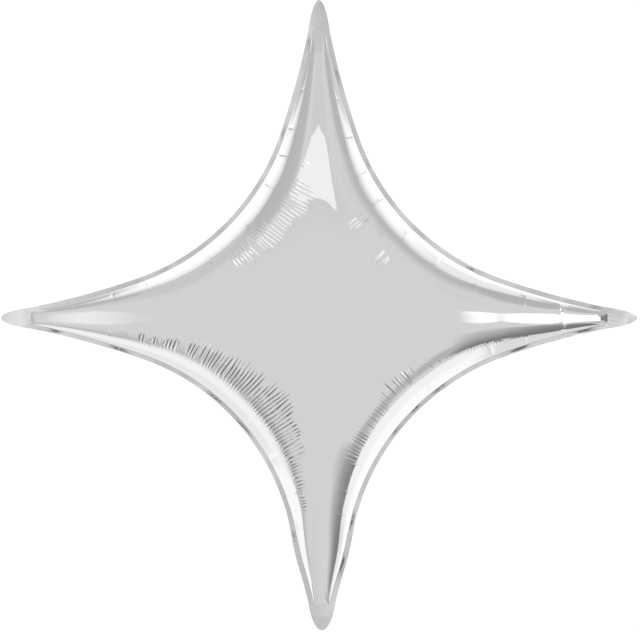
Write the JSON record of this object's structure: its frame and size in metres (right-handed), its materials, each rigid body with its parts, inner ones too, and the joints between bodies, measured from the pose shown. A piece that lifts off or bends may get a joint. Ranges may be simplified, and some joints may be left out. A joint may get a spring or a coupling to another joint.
{
  "type": "star foil balloon",
  "caption": "Inflated metallised film balloon, a star with hollow sides and long slim points; domed front and back panels meet in a flat sealed margin with point tabs and a valve neck.",
  "frame": {"origin": "centre of the star, on the plane of the seal, where the line through its side points meets the one down from its top point", "axes": "+X to the right point, +Z to the top point, the neck points to -Z, and the front panel faces -Y"},
  "size_m": [0.98, 0.2158, 0.971],
  "materials": {
    "foil_film": "mirror-bright metallised film",
    "sealed_film": "satin, heat sealed and slightly crimped",
    "valve_film": "milky clear film"
  },
  "bodies": {
    "root": {"front_panel": "foil_film", "back_panel": "foil_film", "seam_upper_right": "sealed_film", "seam_upper_left": "sealed_film", "seam_lower_left": "sealed_film", "seam_lower_right": "sealed_film", "tab_right": "sealed_film", "tab_top": "sealed_film", "tab_left": "sealed_film", "neck_leaf_front": "sealed_film", "neck_leaf_back": "sealed_film", "valve_sleeve": "valve_film"}
  },
  "joints": []
}
